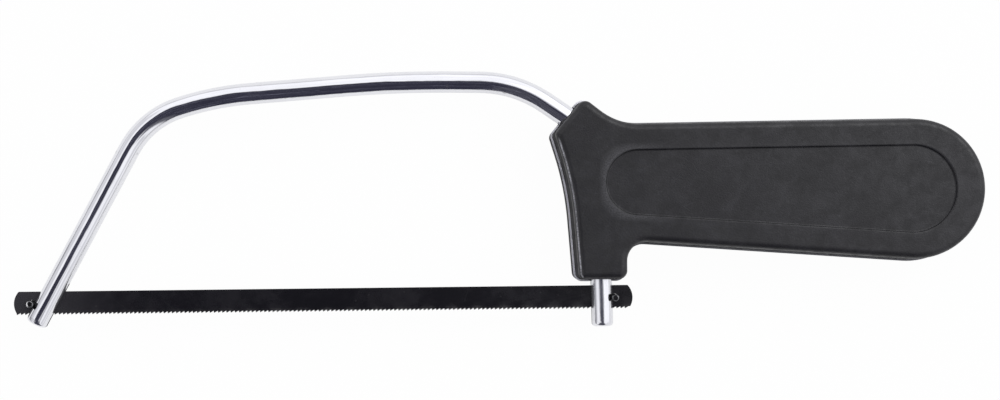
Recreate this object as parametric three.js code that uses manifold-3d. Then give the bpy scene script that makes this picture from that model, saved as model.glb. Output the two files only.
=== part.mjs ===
// Mini hacksaw: a bent steel rod as frame, a grip of two moulded shells and a pinned blade.
// Millimetres, +Z up. The saw lies on the back of its grip. X runs along the blade towards the grip,
// and Y from the blade towards the bow. It is drawn from the rear blade pin, with the blade's plane at Z 0,
// and at the end it is set on the middle of its own base.

import * as THREE from 'three';
import { mergeVertices } from 'three/addons/utils/BufferGeometryUtils.js';
import Module from 'manifold-3d';

const wasm = await Module();
wasm.setup();

// Blade
const pinSpacing = 147; // between the two pins
const bladeOverhang = 4.55; // round end beyond its pin
const bladeBack = 3.1; // back of the blade above the pin line
const bladeEdge = 2.75; // tips of the teeth below the pin line
const bladeThickness = 0.65;
const teethPerInch = 24;
const toothDepth = 0.5;
const toothLean = 0.15; // from a gullet to the next tip, along the blade
const pinDiameter = 1.8;
const pinLength = 5.6;
const pinChamfer = 0.2;
const pinClearance = 0.05; // round a pin in the blade

// Frame rod
const rodDiameter = 5.4;
const rodEndRound = 0.9;
const notchStandOff = 0.5; // middle of a seated pin outside the rod's surface
const notchClearance = 0.08;
const slotClearance = 0.13; // on each side of the blade
const slotRoom = 2.2; // above the blade's back, for the leg to slide along it as it flexes
const frontLean = 28.8; // degrees, front leg from upright
const rearLean = 1; // degrees, rear leg from upright
const frontFoot = 4; // leg below its pin
const rearFoot = 7.1;
const bowHeight = 54.5; // rear end of the top bar above the pin line
const crownSetback = 29.9; // crown of the top bar in front of its rear end
const crownRise = 0.6;
const barRise = 4.05; // degrees, front stretch of the top bar
const noseSlope = 34.7; // degrees, from the top bar down into the grip
const tangHeight = 40.4; // corner inside the grip above the pin line
const frontBend = 25; // radii at the rod's middle
const crownBend = 300;
const rearBend = 30;
const tangBend = 14;
const flexDistance = 104; // along the rod from its front end to the line where it flexes
const flexGap = 0.2;

// Grip outline, from the rear pin
const legBottom = 4.7;
const legToe = 10.1; // in front of the pin
const legHeel = 3.15; // behind the pin
const gripReach = 92; // behind the pin
const gripTop = 43.6;
const gripTopEnd = 44.1;
const gripUnder = 13.65;
const gripUnderEnd = 7.25;
const hollowFront = 11.9;
const hollowHeight = 28.2;
const chinFront = 15.9;
const chinHeight = 41.25;
const noseFront = 7.9;
const noseHeight = 50.8;
const flankBack = 0.8;
const noseRound = 2.7;
const chinRound = 2;
const hollowRound = 75;
const toeRound = 2.2;
const heelRound = 2.8;
const fingerRound = 4.1;
const flankRound = 15;

// Grip shells
const gripThickness = 17;
const edgeRound = 1.6;
const frontDraft = 4.5; // degrees that the sides lean in towards the front
const backDraft = 1.5; // and towards the back
const wall = 2.4;
const partingGap = 0.1;
const rodClearance = 0.2;
const panelInset = 6.7; // from the grip's edges
const panelFront = 2.75; // in front of the pin
const panelDepth = 0.4;
const ribThickness = 1.6;
const ribReach = 9; // to each side of the rod
const ribPlaces = [19, 30, 44]; // along the rod from its rear end

// Grip screws
const screwCount = 3;
const screwFront = 8; // first screw behind the pin
const screwEndGap = 18; // last screw from the grip's end
const headDiameter = 5.6;
const headHeight = 1.9;
const headCrown = 3.9; // flat top of the head
const headSink = 3.2; // seat of the head below the back of the grip
const headClearance = 0.3;
const shankDiameter = 2.9;
const shankClearance = 0.06;
const shankCover = 3; // plastic in front of the screw's tip
const tipLength = 1.2;
const driveLength = 3.2;
const driveWidth = 0.9;
const driveDepth = 1;
const postWall = 1.4;

const rodSides = 16;
const rodStep = 2.6; // between the rod's rings
const roundSides = 20; // round pins, screws and holes
const edgeSteps = 4; // bands of a rounded edge
const arcStep = 11; // degrees between the points of a rounded corner
const arcLeast = 4; // points on the shortest corner
const bladeEndSteps = 10; // points on the blade's round ends
const tightest = 0.15; // smallest radius of a corner
const cutMargin = 1; // a cutter beyond what it cuts
const skim = 0.02; // a cutter off a face that it leaves whole
const bond = 0.4; // a rib or post into its wall

const rodRadius = rodDiameter / 2;
const pinRadius = pinDiameter / 2;
const pinSeat = rodRadius + notchStandOff;
const half = gripThickness / 2;
const partingFace = partingGap / 2;
const inch = 25.4;
const toothPitch = inch / teethPerInch;
const radians = THREE.MathUtils.degToRad;

const chrome = new THREE.MeshStandardMaterial({ color: 0xd6d8dc, roughness: 0.12, metalness: 1 });
const blackPlastic = new THREE.MeshStandardMaterial({ color: 0x2b2b2d, roughness: 0.55, metalness: 0 });
const blueBlackSteel = new THREE.MeshStandardMaterial({ color: 0x1c1d20, roughness: 0.45, metalness: 0.6 });
const pinSteel = new THREE.MeshStandardMaterial({ color: 0x3a3b3e, roughness: 0.35, metalness: 0.9 });
const screwSteel = new THREE.MeshStandardMaterial({ color: 0x9a9ca0, roughness: 0.3, metalness: 1 });

// Solids and meshes

function solidOf(geometry) {
  const bare = geometry.clone();
  bare.deleteAttribute('normal');
  bare.deleteAttribute('uv');
  const merged = mergeVertices(bare);
  const corners = merged.index.array;
  const triangles = [];
  for (let i = 0; i < corners.length; i += 3) {
    const [a, b, c] = corners.slice(i, i + 3);
    if (a !== b && b !== c && c !== a) triangles.push(a, b, c);
  }
  const vertProperties = merged.attributes.position.array;
  const triVerts = new Uint32Array(triangles);
  return new wasm.Manifold(new wasm.Mesh({ numProp: 3, vertProperties, triVerts }));
}

function meshOf(name, solid, material) {
  const { vertProperties, triVerts } = solid.getMesh();
  const geometry = new THREE.BufferGeometry();
  geometry.setAttribute('position', new THREE.BufferAttribute(vertProperties, 3));
  geometry.setIndex(new THREE.BufferAttribute(triVerts, 1));
  const faceted = geometry.toNonIndexed();
  faceted.computeVertexNormals();
  const mesh = new THREE.Mesh(faceted, material);
  mesh.name = name;
  return mesh;
}

const joined = (solids) => solids.reduce((whole, solid) => whole.add(solid));
const cutBy = (solid, cutters) => cutters.reduce((rest, cutter) => rest.subtract(cutter), solid);

// A solid turned about Z from a profile of [radius, z] points.
function turned(profile, x, y) {
  const geometry = new THREE.LatheGeometry(profile.map(([r, z]) => new THREE.Vector2(r, z)), roundSides);
  geometry.rotateX(Math.PI / 2);
  geometry.translate(x, y, 0);
  return solidOf(geometry);
}

const rod = (radius, from, to, x, y) => turned([[0, from], [radius, from], [radius, to], [0, to]], x, y);

// A box turned about Z, given by its middle and its size.
function block(middle, size, turn = 0) {
  const geometry = new THREE.BoxGeometry(size.x, size.y, size.z);
  geometry.rotateZ(turn);
  geometry.translate(middle.x, middle.y, middle.z);
  return solidOf(geometry);
}

// Outlines: corners [x, y, radius] joined by straight edges, each rounded by a tangent arc

function cornerArc(before, corner, after) {
  const point = new THREE.Vector2(corner[0], corner[1]);
  const inward = point.clone().sub(new THREE.Vector2(before[0], before[1])).normalize();
  const outward = new THREE.Vector2(after[0], after[1]).sub(point).normalize();
  const turn = Math.atan2(inward.cross(outward), inward.dot(outward));
  const radius = corner[2];
  const start = point.clone().addScaledVector(inward, -radius * Math.tan(Math.abs(turn) / 2));
  const side = Math.sign(turn);
  const centre = start.clone().add(new THREE.Vector2(-inward.y, inward.x).multiplyScalar(side * radius));
  const startAngle = Math.atan2(start.y - centre.y, start.x - centre.x);
  return { centre, radius, startAngle, turn, inward, outward };
}

const neighbours = (corners, i) => [
  corners[(i + corners.length - 1) % corners.length], corners[i], corners[(i + 1) % corners.length],
];

// Points along a closed outline, with the same count for every inset of it.
function outlinePoints(corners) {
  return corners.flatMap((corner, i) => {
    const { centre, radius, startAngle, turn } = cornerArc(...neighbours(corners, i));
    const steps = Math.max(arcLeast, Math.ceil(Math.abs(turn) / radians(arcStep)));
    return Array.from({ length: steps + 1 }, (_, k) => {
      const angle = startAngle + (turn * k) / steps;
      return new THREE.Vector2(centre.x + radius * Math.cos(angle), centre.y + radius * Math.sin(angle));
    });
  });
}

// The outline moved inwards. Outer corners tighten and inner corners open. It runs counterclockwise.
function inset(corners, distance) {
  return corners.map((corner, i) => {
    const { inward, outward, turn } = cornerArc(...neighbours(corners, i));
    const first = new THREE.Vector2(-inward.y, inward.x);
    const second = new THREE.Vector2(-outward.y, outward.x);
    const shift = first.clone().add(second).multiplyScalar(distance / (1 + first.dot(second)));
    const radius = Math.max(corner[2] - Math.sign(turn) * distance, tightest);
    return [corner[0] + shift.x, corner[1] + shift.y, radius];
  });
}

// The radius that rounds a whole end, between the corners a and b.
function endRadius(before, a, b, after) {
  const turnA = cornerArc(before, [...a, 0], b).turn;
  const turnB = cornerArc(a, [...b, 0], after).turn;
  const length = Math.hypot(b[0] - a[0], b[1] - a[1]);
  return length / (Math.tan(turnA / 2) + Math.tan(turnB / 2));
}

// A solid through a stack of outlines with the same count of points.
function stacked(sections) {
  const upwards = sections[0].z < sections[sections.length - 1].z ? sections : [...sections].reverse();
  const count = upwards[0].points.length;
  const positions = upwards.flatMap(({ points, z }) => points.flatMap((point) => [point.x, point.y, z]));
  const triangles = [];
  for (let ring = 0; ring + 1 < upwards.length; ring += 1) {
    for (let i = 0; i < count; i += 1) {
      const a = ring * count + i;
      const b = ring * count + ((i + 1) % count);
      triangles.push(a, b, b + count, a, b + count, a + count);
    }
  }
  const top = (upwards.length - 1) * count;
  const faces = (section) => THREE.ShapeUtils.triangulateShape(section.points, []);
  faces(upwards[0]).forEach(([a, b, c]) => triangles.push(c, b, a));
  faces(upwards[upwards.length - 1]).forEach(([a, b, c]) => triangles.push(top + a, top + b, top + c));
  const geometry = new THREE.BufferGeometry();
  geometry.setAttribute('position', new THREE.Float32BufferAttribute(positions, 3));
  geometry.setIndex(triangles);
  return solidOf(geometry);
}

const slab = (corners, from, to) => {
  const points = outlinePoints(corners);
  return stacked([{ points, z: from }, { points, z: to }]);
};

// Rod: its middle line, from the front leg's end to the rear leg's end

const frontPin = new THREE.Vector2(-pinSpacing, 0);
const rearPin = new THREE.Vector2(0, 0);
const frontUp = new THREE.Vector2(Math.sin(radians(frontLean)), Math.cos(radians(frontLean)));
const rearUp = new THREE.Vector2(-Math.sin(radians(rearLean)), Math.cos(radians(rearLean)));
const frontSeat = frontPin.clone().add(new THREE.Vector2(frontUp.y, -frontUp.x).multiplyScalar(pinSeat));
const rearSeat = rearPin.clone().add(new THREE.Vector2(-rearUp.y, rearUp.x).multiplyScalar(pinSeat));

const frontEnd = frontSeat.clone().addScaledVector(frontUp, -frontFoot);
const rearEnd = rearSeat.clone().addScaledVector(rearUp, -rearFoot);
const tangCorner = rearSeat.clone().addScaledVector(rearUp, (tangHeight - rearSeat.y) / rearUp.y);
const rearCorner = new THREE.Vector2(
  tangCorner.x - (bowHeight - tangHeight) / Math.tan(radians(noseSlope)), bowHeight,
);
const crown = new THREE.Vector2(rearCorner.x - crownSetback, rearCorner.y + crownRise);
const barSlope = Math.tan(radians(barRise));
const legToBar = (crown.y - frontSeat.y - barSlope * (crown.x - frontSeat.x))
  / (frontUp.y - barSlope * frontUp.x);
const frontCorner = frontSeat.clone().addScaledVector(frontUp, legToBar);

const rodCorners = [
  [frontEnd.x, frontEnd.y, 0],
  [frontCorner.x, frontCorner.y, frontBend],
  [crown.x, crown.y, crownBend],
  [rearCorner.x, rearCorner.y, rearBend],
  [tangCorner.x, tangCorner.y, tangBend],
  [rearEnd.x, rearEnd.y, 0],
];

const rodLine = new THREE.Path().moveTo(frontEnd.x, frontEnd.y);
rodCorners.slice(1, -1).forEach((_, i) => {
  const { centre, radius, startAngle, turn } = cornerArc(...rodCorners.slice(i, i + 3));
  rodLine.lineTo(centre.x + radius * Math.cos(startAngle), centre.y + radius * Math.sin(startAngle));
  rodLine.absarc(centre.x, centre.y, radius, startAngle, startAngle + turn, turn < 0);
});
rodLine.lineTo(rearEnd.x, rearEnd.y);
const rodLength = rodLine.getLength();

// The stretch of the rod's middle line between two distances from its front end.
class RodStretch extends THREE.Curve {
  constructor(from, to) {
    super();
    this.from = from;
    this.to = to;
  }

  getPoint(t, target = new THREE.Vector3()) {
    const point = rodLine.getPoint((this.from + (this.to - this.from) * t) / rodLength);
    return target.set(point.x, point.y, 0);
  }
}

function rodTube(from, to, radius) {
  const ring = Array.from({ length: rodSides }, (_, i) => {
    const angle = ((i + 0.5) * 2 * Math.PI) / rodSides;
    return new THREE.Vector2(radius * Math.cos(angle), radius * Math.sin(angle));
  });
  return solidOf(new THREE.ExtrudeGeometry(new THREE.Shape(ring), {
    extrudePath: new RodStretch(from, to), steps: Math.round((to - from) / rodStep),
  }));
}

const legTurn = (up) => Math.atan2(-up.x, up.y);

// What rounds the edge of a leg's end: a ring about the leg with a rounded socket.
function endRounder(end, up) {
  const sweep = rodEndRound + skim;
  const socket = Array.from({ length: edgeSteps + 1 }, (_, i) => {
    const angle = (i / edgeSteps) * (Math.PI / 2);
    return [rodRadius - rodEndRound + sweep * Math.cos(angle), rodEndRound - sweep * Math.sin(angle)];
  });
  const inner = socket[edgeSteps][0];
  const ring = [[inner, -cutMargin], [rodDiameter, -cutMargin], [rodDiameter, rodEndRound], ...socket];
  const profile = [...ring, ring[0]].map(([r, y]) => new THREE.Vector2(r, y));
  const geometry = new THREE.LatheGeometry(profile, rodSides);
  geometry.rotateZ(legTurn(up));
  geometry.translate(end.x, end.y, 0);
  return solidOf(geometry);
}

// The slit for the blade, open at the leg's end, and the notch for the pin.
function bladeSeat(seat, end, up, pin) {
  const overEnd = -seat.distanceTo(end) - cutMargin;
  const lean = Math.abs(up.x / up.y);
  const top = (bladeBack - seat.y) / up.y + rodRadius * lean + slotRoom;
  const middle = seat.clone().addScaledVector(up, (overEnd + top) / 2);
  const slot = block(
    { x: middle.x, y: middle.y, z: 0 },
    { x: rodDiameter + 2 * cutMargin, y: top - overEnd, z: bladeThickness + 2 * slotClearance },
    legTurn(up),
  );
  const notch = rod(pinRadius + notchClearance, -rodDiameter, rodDiameter, pin.x, pin.y);
  return [endRounder(end, up), slot, notch];
}

const bowSolid = cutBy(
  rodTube(0, flexDistance - flexGap / 2, rodRadius),
  bladeSeat(frontSeat, frontEnd, frontUp, frontPin),
);
const tangSolid = cutBy(
  rodTube(flexDistance + flexGap / 2, rodLength, rodRadius),
  bladeSeat(rearSeat, rearEnd, rearUp, rearPin),
);

// Blade: a strip with round ends, a pin hole near each end and a row of teeth

function bladeSolid() {
  const backAngle = Math.asin(bladeBack / bladeOverhang);
  const gullet = bladeEdge - toothDepth;
  const edgeAngle = Math.asin(gullet / bladeOverhang);
  const edgeReach = bladeOverhang * Math.cos(edgeAngle);
  const outline = new THREE.Shape();
  outline.absarc(rearPin.x, rearPin.y, bladeOverhang, -edgeAngle, backAngle, false);
  outline.absarc(frontPin.x, frontPin.y, bladeOverhang, Math.PI - backAngle, Math.PI + edgeAngle, false);
  const toothCount = Math.floor((pinSpacing + 2 * edgeReach) / toothPitch);
  const firstGullet = frontPin.x - edgeReach;
  for (let i = 0; i < toothCount; i += 1) {
    const x = firstGullet + i * toothPitch;
    outline.lineTo(x + toothLean, -bladeEdge);
    outline.lineTo(x + toothPitch, -gullet);
  }
  const strip = new THREE.ExtrudeGeometry(outline, {
    depth: bladeThickness, bevelEnabled: false, curveSegments: bladeEndSteps,
  });
  strip.translate(0, 0, -bladeThickness / 2);
  const holes = [frontPin, rearPin].map((pin) => (
    rod(pinRadius + pinClearance, -bladeThickness, bladeThickness, pin.x, pin.y)
  ));
  return cutBy(solidOf(strip), holes);
}

function pinSolid(pin) {
  const end = pinLength / 2;
  return turned([
    [0, -end], [pinRadius - pinChamfer, -end], [pinRadius, pinChamfer - end],
    [pinRadius, end - pinChamfer], [pinRadius - pinChamfer, end], [0, end],
  ], pin.x, pin.y);
}

// Grip: its outline, counterclockwise from the top of the nose

const topHollow = [flankBack, gripTop];
const endTop = [gripReach, gripTopEnd];
const endBottom = [gripReach, gripUnderEnd];
const fingerHollow = [legHeel, gripUnder];
const gripEndRound = endRadius(fingerHollow, endBottom, endTop, topHollow);

const gripCorners = [
  [-noseFront, noseHeight, noseRound],
  [-chinFront, chinHeight, chinRound],
  [-hollowFront, hollowHeight, hollowRound],
  [-legToe, legBottom, toeRound],
  [legHeel, legBottom, heelRound],
  [...fingerHollow, fingerRound],
  [...endBottom, gripEndRound],
  [...endTop, gripEndRound],
  [...topHollow, flankRound],
];

const along = (a, b, x) => a[1] + ((b[1] - a[1]) * (x - a[0])) / (b[0] - a[0]);
const topEdgeAt = (x) => along(topHollow, endTop, x);
const underEdgeAt = (x) => along(fingerHollow, endBottom, x);
const gripMiddleAt = (x) => (topEdgeAt(x) + underEdgeAt(x)) / 2;

// The sunk panel keeps one distance from the grip's edges, and both of its ends are round.
function panelCorners() {
  const front = -panelFront - panelInset;
  const bounds = [
    [front, topEdgeAt(front), 0], [front, underEdgeAt(front), 0], [...endBottom, 0], [...endTop, 0],
  ];
  const [frontTop, frontUnder, rearUnder, rearTop] = inset(bounds, panelInset).map(([x, y]) => [x, y]);
  const frontRound = endRadius(rearTop, frontTop, frontUnder, rearUnder);
  const rearRound = endRadius(frontUnder, rearUnder, rearTop, frontTop);
  return [
    [...frontTop, frontRound], [...frontUnder, frontRound],
    [...rearUnder, rearRound], [...rearTop, rearRound],
  ];
}

const screwPlaces = Array.from({ length: screwCount }, (_, i) => {
  const x = screwFront + ((gripReach - screwEndGap - screwFront) * i) / (screwCount - 1);
  return new THREE.Vector2(x, gripMiddleAt(x));
});

const headSeat = headSink - half;
const shankTip = half - panelDepth - shankCover;
const shankHole = shankDiameter / 2 + shankClearance;
const headHole = headDiameter / 2 + headClearance;

// A half of the grip without its screw holes. Side 1 is the front and side -1 the back.
function shellBody(side) {
  const draft = radians(side > 0 ? frontDraft : backDraft);
  const sideTop = half - edgeRound * (1 - Math.sin(draft));
  const edgeMiddle = Math.tan(draft) * (sideTop - partingFace) + edgeRound * Math.cos(draft);
  const edge = Array.from({ length: edgeSteps + 1 }, (_, i) => {
    const angle = draft + (i / edgeSteps) * (Math.PI / 2 - draft);
    return { in: edgeMiddle - edgeRound * Math.cos(angle), z: half - edgeRound * (1 - Math.sin(angle)) };
  });
  const skin = stacked([{ in: 0, z: partingFace }, ...edge].map(({ in: distance, z }) => (
    { points: outlinePoints(inset(gripCorners, distance)), z: side * z }
  )));
  const hollow = slab(inset(gripCorners, wall), -side * cutMargin, side * (half - wall));
  const ribRoom = slab(inset(gripCorners, wall - bond), side * partingFace, side * (half - wall + bond));
  const ribs = ribPlaces.map((place) => {
    const t = (rodLength - place) / rodLength;
    const point = rodLine.getPoint(t);
    const run = rodLine.getTangent(t);
    const rib = block(
      { x: point.x, y: point.y, z: side * half },
      { x: ribThickness, y: 2 * ribReach, z: 2 * half },
      Math.atan2(run.y, run.x),
    );
    return rib.intersect(ribRoom);
  });
  const postRadius = side > 0 ? shankHole + postWall : headHole + postWall;
  const posts = screwPlaces.map(({ x, y }) => {
    const ends = [side * partingFace, side * (half - wall + bond)].sort((a, b) => a - b);
    return rod(postRadius, ...ends, x, y);
  });
  const panel = slab(panelCorners(), side * (half - panelDepth), side * (half + cutMargin));
  const rodWay = rodTube(flexDistance + flexGap / 2, rodLength, rodRadius + rodClearance);
  return cutBy(joined([skin.subtract(hollow), ...ribs, ...posts]), [panel, rodWay]);
}

const frontShell = cutBy(shellBody(1), screwPlaces.map(({ x, y }) => (
  rod(shankHole, -cutMargin, shankTip + shankClearance, x, y)
)));

const backShell = cutBy(shellBody(-1), screwPlaces.flatMap(({ x, y }) => [
  rod(shankHole, -gripThickness, cutMargin, x, y),
  rod(headHole, -gripThickness, headSeat, x, y),
]));

function screwSolid({ x, y }) {
  const shank = shankDiameter / 2;
  const head = headDiameter / 2;
  const body = turned([
    [0, headSeat - headHeight], [headCrown / 2, headSeat - headHeight], [head, headSeat - headHeight / 2],
    [head, headSeat], [shank, headSeat], [shank, shankTip - tipLength], [0, shankTip],
  ], x, y);
  const z = headSeat - headHeight;
  const drive = [0, Math.PI / 2].map((turn) => (
    block({ x, y, z }, { x: driveLength, y: driveWidth, z: 2 * driveDepth }, turn)
  ));
  return cutBy(body, drive);
}

const saw = new THREE.Group();
saw.add(
  meshOf('frame_bow', bowSolid, chrome),
  meshOf('frame_tang', tangSolid, chrome),
  meshOf('handle_front_shell', frontShell, blackPlastic),
  meshOf('handle_back_shell', backShell, blackPlastic),
  meshOf('blade_strip', bladeSolid(), blueBlackSteel),
  meshOf('blade_front_pin', pinSolid(frontPin), pinSteel),
  meshOf('blade_rear_pin', pinSolid(rearPin), pinSteel),
  ...screwPlaces.map((place, i) => meshOf(`handle_screw_${i + 1}`, screwSolid(place), screwSteel)),
);

const box = new THREE.Box3().setFromObject(saw);
const middle = box.getCenter(new THREE.Vector3());
saw.position.set(-middle.x, -middle.y, -box.min.z);

export default saw;
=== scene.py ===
import math

import bmesh
import bpy
from mathutils import Matrix, Vector


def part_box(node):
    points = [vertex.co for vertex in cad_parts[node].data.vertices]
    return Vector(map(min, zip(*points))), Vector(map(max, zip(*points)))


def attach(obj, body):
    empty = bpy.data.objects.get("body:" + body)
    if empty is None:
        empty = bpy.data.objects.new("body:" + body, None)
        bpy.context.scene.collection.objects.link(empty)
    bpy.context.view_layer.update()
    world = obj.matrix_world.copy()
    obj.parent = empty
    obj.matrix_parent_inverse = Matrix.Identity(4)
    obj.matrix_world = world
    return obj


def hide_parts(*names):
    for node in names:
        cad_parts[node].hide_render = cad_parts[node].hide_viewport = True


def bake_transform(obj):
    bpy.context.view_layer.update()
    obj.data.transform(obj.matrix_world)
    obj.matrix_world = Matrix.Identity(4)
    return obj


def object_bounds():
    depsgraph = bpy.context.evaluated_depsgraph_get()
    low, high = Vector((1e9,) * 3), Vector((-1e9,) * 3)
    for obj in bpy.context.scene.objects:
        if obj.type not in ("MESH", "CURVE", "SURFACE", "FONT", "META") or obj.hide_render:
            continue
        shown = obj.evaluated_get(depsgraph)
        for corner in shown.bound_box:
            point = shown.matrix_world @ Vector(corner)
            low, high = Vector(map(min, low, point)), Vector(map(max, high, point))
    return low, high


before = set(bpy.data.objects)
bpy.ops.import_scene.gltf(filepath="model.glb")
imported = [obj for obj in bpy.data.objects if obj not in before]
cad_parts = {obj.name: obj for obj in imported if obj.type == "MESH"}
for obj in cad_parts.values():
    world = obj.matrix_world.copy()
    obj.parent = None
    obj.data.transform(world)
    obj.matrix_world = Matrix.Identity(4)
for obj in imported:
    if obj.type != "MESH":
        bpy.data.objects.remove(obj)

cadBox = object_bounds()
scene = bpy.context.scene
scene.view_settings.view_transform = "Standard"

mm = 0.001  # pieces are drawn in millimetres from the rear pin, with the blade's plane at z 0
inch = 25.4
touching = 0.001  # points closer than this are one


def middleOf(nodeName):
    low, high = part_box(nodeName)
    return (Vector(low) + Vector(high)) / 2


def inMetres(values):
    return [value * mm for value in values]


rearPin = middleOf("blade_rear_pin")
frontPin = middleOf("blade_front_pin")
pinSpacing = (rearPin.x - frontPin.x) / mm
toRow = Matrix.Translation(rearPin) @ Matrix.Scale(mm, 4)
print("frame loaded, pins", round(pinSpacing, 2), "mm apart")


# Mesh helpers

def vertsIn(geom):
    return [part for part in geom if isinstance(part, bmesh.types.BMVert)]


def vertsOf(edges):
    return list(dict.fromkeys(vert for edge in edges for vert in edge.verts))


def drawLoop(bm, points, z=0.0):
    verts = [bm.verts.new((x, y, z)) for x, y in points]
    return [bm.edges.new(pair) for pair in zip(verts, verts[1:] + verts[:1])]


def circlePoints(x, y, radius, count):
    angles = [2 * math.pi * i / count for i in range(count)]
    return [(x + radius * math.cos(angle), y + radius * math.sin(angle)) for angle in angles]


def pushLoop(bm, edges, matrix):  # the next ring of a sweep
    verts = vertsIn(bmesh.ops.extrude_edge_only(bm, edges=edges)["geom"])
    bmesh.ops.transform(bm, matrix=matrix, verts=verts)
    fresh = set(verts)
    ring = (edge for vert in verts for edge in vert.link_edges if edge.other_vert(vert) in fresh)
    return list(dict.fromkeys(ring))


def about(point, matrix):
    return Matrix.Translation(point) @ matrix @ Matrix.Translation(-point)


def skinLoops(bm, loops):
    for lower, upper in zip(loops, loops[1:]):
        bmesh.ops.bridge_loops(bm, edges=lower + upper)


def drawTube(bm, x, y, radius, count, heights):  # upright, open at both ends
    rings = [drawLoop(bm, circlePoints(x, y, radius, count), z) for z in heights]
    skinLoops(bm, rings)
    return rings


def fillFlat(bm, *loops):  # the first loop is the rim, the others are holes in it
    edges = [edge for loop in loops for edge in loop]
    bmesh.ops.triangle_fill(bm, edges=edges, use_beauty=True, use_dissolve=False, normal=(0, 0, 1))


def bevelEdges(bm, edges, offset, segments):
    bmesh.ops.bevel(bm, geom=edges, offset=offset, segments=segments, profile=0.5, affect="EDGES",
                    material=-1, clamp_overlap=True)


def turnProfile(bm, profile, x, y, steps):  # profile of (radius, z) points, spun about an upright axis
    verts = [bm.verts.new((x + radius, y, z)) for radius, z in profile]
    edges = [bm.edges.new(pair) for pair in zip(verts, verts[1:])]
    bmesh.ops.spin(bm, geom=verts + edges, cent=(x, y, 0), axis=(0, 0, 1), angle=2 * math.pi,
                   steps=steps, use_merge=True)


def tidyMesh(bm, weld=0.002):
    bmesh.ops.remove_doubles(bm, verts=bm.verts[:], dist=weld)
    bmesh.ops.recalc_face_normals(bm, faces=bm.faces[:])


def looseObject(bm, name):
    mesh = bpy.data.meshes.new(name)
    bm.to_mesh(mesh)
    bm.free()
    made = bpy.data.objects.new(name, mesh)
    scene.collection.objects.link(made)
    return made


def cutAway(bm, *cutters):
    tidyMesh(bm)
    body = looseObject(bm, "uncut")
    tools = []
    for cutter in cutters:
        tidyMesh(cutter)
        tools.append(looseObject(cutter, "cutter"))
        cut = body.modifiers.new("cut", "BOOLEAN")
        cut.operation = "DIFFERENCE"
        cut.solver = "EXACT"
        cut.object = tools[-1]
    result = bmesh.new()
    result.from_object(body, bpy.context.evaluated_depsgraph_get())
    for used in [body, *tools]:
        mesh = used.data
        bpy.data.objects.remove(used)
        bpy.data.meshes.remove(mesh)
    return result


def finishPiece(bm, name, material, nodes, body=None, smoothAngle=32):
    tidyMesh(bm)
    bm.transform(toRow)
    piece = looseObject(bm, name)
    mesh = piece.data
    mesh.shade_smooth()
    mesh.set_sharp_from_angle(angle=math.radians(smoothAngle))
    mesh.materials.clear()
    mesh.materials.append(material)
    if body:
        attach(piece, body)
    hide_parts(*nodes)
    print(name, len(mesh.polygons), "faces")
    return piece


# Outlines: corners (x, y, radius), each rounded by an arc

def cornerArc(before, corner, after):
    point = Vector(corner[:2])
    inward = (point - Vector(before[:2])).normalized()
    outward = (Vector(after[:2]) - point).normalized()
    turn = math.atan2(inward.cross(outward), inward.dot(outward))
    radius = corner[2]
    start = point - inward * (radius * math.tan(abs(turn) / 2))
    centre = start + Vector((-inward.y, inward.x)) * math.copysign(radius, turn)
    return {"centre": centre, "start": start, "turn": turn, "inward": inward, "outward": outward}


def withNeighbours(corners):
    return zip(corners[-1:] + corners[:-1], corners, corners[1:] + corners[:1])


def roundOutline(corners, arcStep=4.0, fewest=8):
    points = []
    for before, corner, after in withNeighbours(corners):
        arc = cornerArc(before, corner, after)
        steps = max(fewest, math.ceil(abs(math.degrees(arc["turn"])) / arcStep))
        spoke = arc["start"] - arc["centre"]
        for k in range(steps + 1):
            point = arc["centre"] + Matrix.Rotation(arc["turn"] * k / steps, 2) @ spoke
            if not points or (point - points[-1]).length > touching:  # arcs that meet share a point
                points.append(point)
    return points


def insetOutline(corners, distance, tightest=0.12):
    moved = []
    for before, corner, after in withNeighbours(corners):
        arc = cornerArc(before, corner, after)
        first = Vector((-arc["inward"].y, arc["inward"].x))
        second = Vector((-arc["outward"].y, arc["outward"].x))
        shift = (first + second) * (distance / (1 + first.dot(second)))
        radius = max(corner[2] - math.copysign(distance, arc["turn"]), tightest)
        moved.append((corner[0] + shift.x, corner[1] + shift.y, radius))
    return moved


def endRadius(before, a, b, after):  # rounds the whole end between corners a and b
    turnA = cornerArc(before, (*a, 0), b)["turn"]
    turnB = cornerArc(a, (*b, 0), after)["turn"]
    length = math.hypot(b[0] - a[0], b[1] - a[1])
    return length / (math.tan(turnA / 2) + math.tan(turnB / 2))


# Shader helpers

def addNode(tree, kind, inputs=None, **settings):
    made = tree.nodes.new(kind)
    for name, value in settings.items():
        setattr(made, name, value)
    for name, value in (inputs or {}).items():
        if isinstance(value, bpy.types.NodeSocket):
            tree.links.new(value, made.inputs[name])
        else:
            made.inputs[name].default_value = value
    return made


def maths(tree, operation, *values):
    return addNode(tree, "ShaderNodeMath", dict(enumerate(values)), operation=operation).outputs[0]


def times(tree, first, second):
    return maths(tree, "MULTIPLY", first, second)


def plus(tree, first, second):
    return maths(tree, "ADD", first, second)


def ramp(tree, value, low, high, start=0.0, end=1.0):
    inputs = {"Value": value, "From Min": low, "From Max": high, "To Min": start, "To Max": end}
    return addNode(tree, "ShaderNodeMapRange", inputs, interpolation_type="SMOOTHSTEP").outputs["Result"]


def spread(tree, mask, ends):  # a mask made into values between two ends
    return ramp(tree, mask, 0.0, 1.0, *ends)


def mixColour(tree, factor, a, b):
    return addNode(tree, "ShaderNodeMix", {0: factor, 6: a, 7: b}, data_type="RGBA").outputs[2]


def noise(tree, vector, scale, detail=3.0, roughness=0.55, distortion=0.0):
    inputs = {"Vector": vector, "Scale": scale, "Detail": detail, "Roughness": roughness,
              "Distortion": distortion}
    return addNode(tree, "ShaderNodeTexNoise", inputs).outputs[0]


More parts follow.
